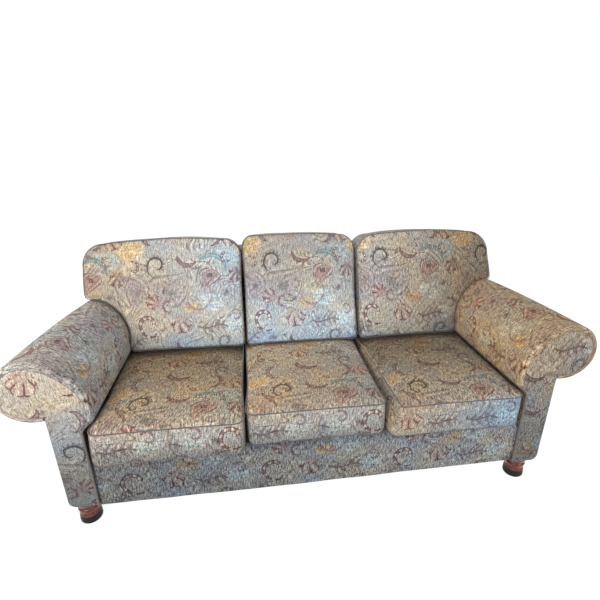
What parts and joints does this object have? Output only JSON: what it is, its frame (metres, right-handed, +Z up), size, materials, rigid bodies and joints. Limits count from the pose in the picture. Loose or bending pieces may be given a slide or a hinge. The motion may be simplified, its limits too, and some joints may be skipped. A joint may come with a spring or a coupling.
{
  "type": "rolled arm sofa",
  "caption": "Rolled arm sofa with loose box seat cushions, raked loose back cushions with ears over the arms, padded arm fronts and turned bun feet.",
  "frame": {"origin": "on the floor under the middle of the outline", "axes": "+X to the sitter's left and across the sofa, -Y towards the front, +Z up"},
  "size_m": [2.1924, 0.963, 0.9993],
  "materials": {
    "frame_wood": "matte",
    "plywood": "matte",
    "spring_wire": "satin",
    "hardware": "satin",
    "webbing": "matte",
    "filling": "matte",
    "deck_cloth": "matte",
    "dust_cloth": "matte",
    "arm_fabric": "matte",
    "cushion_fabric": "matte",
    "foot_wood": "satin",
    "foot_base": "satin"
  },
  "bodies": {
    "frame": {"front_rail": "frame_wood", "rear_rail": "frame_wood", "spring_rail": "frame_wood", "side_rail_left": "frame_wood", "side_rail_right": "frame_wood", "cross_rails": "frame_wood", "corner_blocks": "plywood", "arm_board_front_left": "plywood", "arm_board_front_right": "plywood", "arm_board_rear_left": "plywood", "arm_board_rear_right": "plywood", "arm_top_rail_left": "frame_wood", "arm_top_rail_right": "frame_wood", "arm_tack_rail_left": "frame_wood", "arm_tack_rail_right": "frame_wood", "back_post_left": "frame_wood", "back_post_right": "frame_wood", "back_uprights": "frame_wood", "back_top_rail": "frame_wood", "back_tack_rail": "frame_wood", "seat_springs": "spring_wire", "spring_clips": "hardware", "spring_tie_wires": "spring_wire", "back_webbing": "webbing", "deck_pad": "filling", "deck_cover": "deck_cloth", "front_border": "arm_fabric", "arm_pad_left": "filling", "arm_pad_right": "filling", "arm_cover_left": "arm_fabric", "arm_cover_right": "arm_fabric", "arm_facing_left": "arm_fabric", "arm_facing_right": "arm_fabric", "outside_arm_left": "arm_fabric", "outside_arm_right": "arm_fabric", "back_pad": "filling", "back_cover": "arm_fabric", "outside_back": "arm_fabric", "dust_cover": "dust_cloth", "foot_front_left": "foot_wood", "foot_front_right": "foot_wood", "foot_rear_left": "foot_wood", "foot_rear_right": "foot_wood", "foot_bases": "foot_base", "hanger_bolts": "hardware", "mounting_plates": "hardware", "plate_screws": "hardware"},
    "seat_left": {"seat_core_left": "filling", "seat_cover_left": "cushion_fabric"},
    "seat_middle": {"seat_core_middle": "filling", "seat_cover_middle": "cushion_fabric"},
    "seat_right": {"seat_core_right": "filling", "seat_cover_right": "cushion_fabric"},
    "back_left": {"back_fill_left": "filling", "back_cushion_left": "cushion_fabric"},
    "back_middle": {"back_fill_middle": "filling", "back_cushion_middle": "cushion_fabric"},
    "back_right": {"back_fill_right": "filling", "back_cushion_right": "cushion_fabric"}
  },
  "joints": [
    {"name": "seat_left_slide", "type": "slide", "parent": "frame", "child": "seat_left", "axis": [0, -1, 0], "range_m": [0, 0.6]},
    {"name": "seat_middle_slide", "type": "slide", "parent": "frame", "child": "seat_middle", "axis": [0, -1, 0], "range_m": [0, 0.6]},
    {"name": "seat_right_slide", "type": "slide", "parent": "frame", "child": "seat_right", "axis": [0, -1, 0], "range_m": [0, 0.6]},
    {"name": "back_left_lift", "type": "slide", "parent": "frame", "child": "back_left", "axis": [0, 0, 1], "range_m": [0, 0.5]},
    {"name": "back_middle_lift", "type": "slide", "parent": "frame", "child": "back_middle", "axis": [0, 0, 1], "range_m": [0, 0.5]},
    {"name": "back_right_lift", "type": "slide", "parent": "frame", "child": "back_right", "axis": [0, 0, 1], "range_m": [0, 0.5]}
  ]
}
